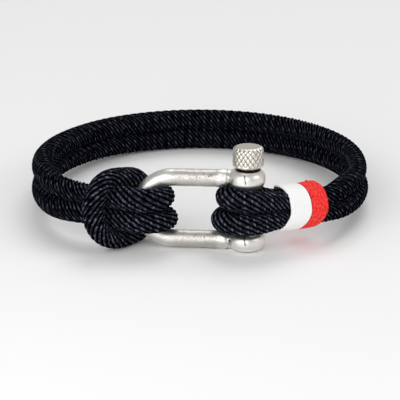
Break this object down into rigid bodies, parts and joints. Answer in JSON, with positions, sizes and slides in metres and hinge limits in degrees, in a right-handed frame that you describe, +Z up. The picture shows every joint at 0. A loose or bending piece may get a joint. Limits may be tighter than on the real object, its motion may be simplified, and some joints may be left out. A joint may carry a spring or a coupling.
{
  "type": "nautical cord bracelet with a D shackle",
  "caption": "Double-strand braided cord bracelet, hitched to the bow of a small D shackle and looped on its screw pin, with white and red thread whippings.",
  "frame": {"origin": "middle of the bracelet's box on the surface it lies on", "axes": "+Z up, +X to the wearer's right along the shackle, from the hitch to the pin, +Y from the shackle across the ring to the plain back of the band"},
  "size_m": [0.069, 0.0662, 0.0211],
  "materials": {
    "navy_cord": "braided polyester, near-black navy",
    "satin_steel": "satin, lightly tumbled stainless steel",
    "knurled_steel": "satin stainless steel with a diamond knurl",
    "white_thread": "wound white thread",
    "red_thread": "wound bright red thread"
  },
  "bodies": {
    "band": {"cord": "navy_cord", "shackle": "satin_steel", "white_whipping": "white_thread", "red_whipping": "red_thread"},
    "pin": {"shackle_pin": "knurled_steel"}
  },
  "joints": [
    {"name": "pin_pull", "type": "slide", "parent": "band", "child": "pin", "axis": [0.0049, 0.0675, 0.9977], "range_m": [0, 0.016]}
  ]
}
